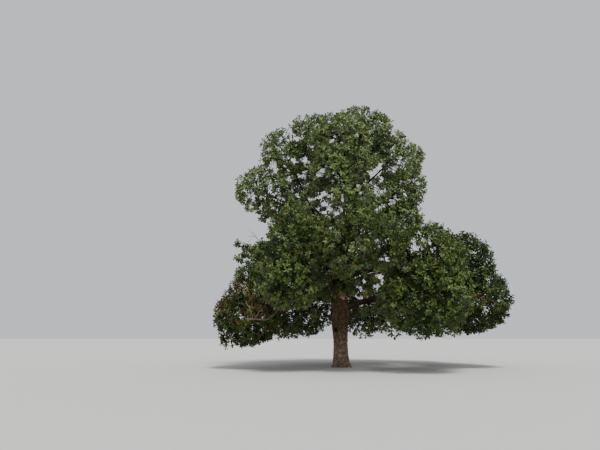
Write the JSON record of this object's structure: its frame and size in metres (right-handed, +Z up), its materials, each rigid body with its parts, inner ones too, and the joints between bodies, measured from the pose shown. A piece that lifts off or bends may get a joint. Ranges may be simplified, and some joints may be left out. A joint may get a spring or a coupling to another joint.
{
  "type": "open-grown oak tree",
  "caption": "Broad oak in full leaf: short stout trunk, low skirt of long boughs, narrower domed crown and one bare dead limb.",
  "frame": {"origin": "middle of the flat cut under the trunk, at ground level", "axes": "+Z up along the trunk, +X to the right of the picture, +Y away from the camera"},
  "size_m": [15.9715, 13.9624, 15.3868],
  "materials": {
    "bark": "rough fissured bark",
    "bough_bark": "rough bark",
    "dead_wood": "bare weathered wood",
    "leaves_skirt": "leathery deep green leaves",
    "leaves_turning": "leathery green and brown leaves",
    "leaves_dome": "leathery mid green leaves"
  },
  "bodies": {
    "root": {"bough_crown_back": "bough_bark", "bough_crown_front": "bough_bark", "bough_crown_left": "bough_bark", "bough_crown_right": "bough_bark", "bough_crown_top_left": "bough_bark", "bough_dome_front": "bough_bark", "bough_dome_left": "bough_bark", "bough_dome_left_back": "bough_bark", "bough_dome_right": "bough_bark", "bough_dome_right_back": "bough_bark", "bough_low_back": "bough_bark", "bough_low_left": "bough_bark", "bough_low_left_back": "bough_bark", "bough_low_left_front": "bough_bark", "bough_low_right": "bough_bark", "bough_low_right_back": "bough_bark", "bough_low_right_front": "bough_bark", "bough_mid_back": "bough_bark", "bough_mid_front": "bough_bark", "bough_mid_left": "bough_bark", "bough_mid_left_back": "bough_bark", "bough_mid_left_front": "bough_bark", "bough_mid_right": "bough_bark", "bough_mid_right_back": "bough_bark", "bough_mid_right_front": "bough_bark", "bough_outer_left": "bough_bark", "bough_waist_left": "bough_bark", "bough_waist_right": "bough_bark", "dead_limb": "dead_wood", "dead_twigs": "dead_wood", "leaves_crown_back": "leaves_dome", "leaves_crown_front": "leaves_dome", "leaves_crown_left": "leaves_dome", "leaves_crown_right": "leaves_dome", "leaves_crown_top": "leaves_dome", "leaves_crown_top_left": "leaves_dome", "leaves_dome_front": "leaves_dome", "leaves_dome_left": "leaves_dome", "leaves_dome_left_back": "leaves_dome", "leaves_dome_right": "leaves_dome", "leaves_dome_right_back": "leaves_dome", "leaves_low_back": "leaves_skirt", "leaves_low_left": "leaves_turning", "leaves_low_left_back": "leaves_skirt", "leaves_low_left_front": "leaves_skirt", "leaves_low_right": "leaves_skirt", "leaves_low_right_back": "leaves_skirt", "leaves_low_right_front": "leaves_skirt", "leaves_mid_back": "leaves_skirt", "leaves_mid_front": "leaves_skirt", "leaves_mid_left": "leaves_skirt", "leaves_mid_left_back": "leaves_skirt", "leaves_mid_left_front": "leaves_skirt", "leaves_mid_right": "leaves_skirt", "leaves_mid_right_back": "leaves_skirt", "leaves_mid_right_front": "leaves_skirt", "leaves_outer_left": "leaves_skirt", "leaves_waist_left": "leaves_dome", "leaves_waist_right": "leaves_dome", "trunk": "bark"}
  },
  "joints": []
}
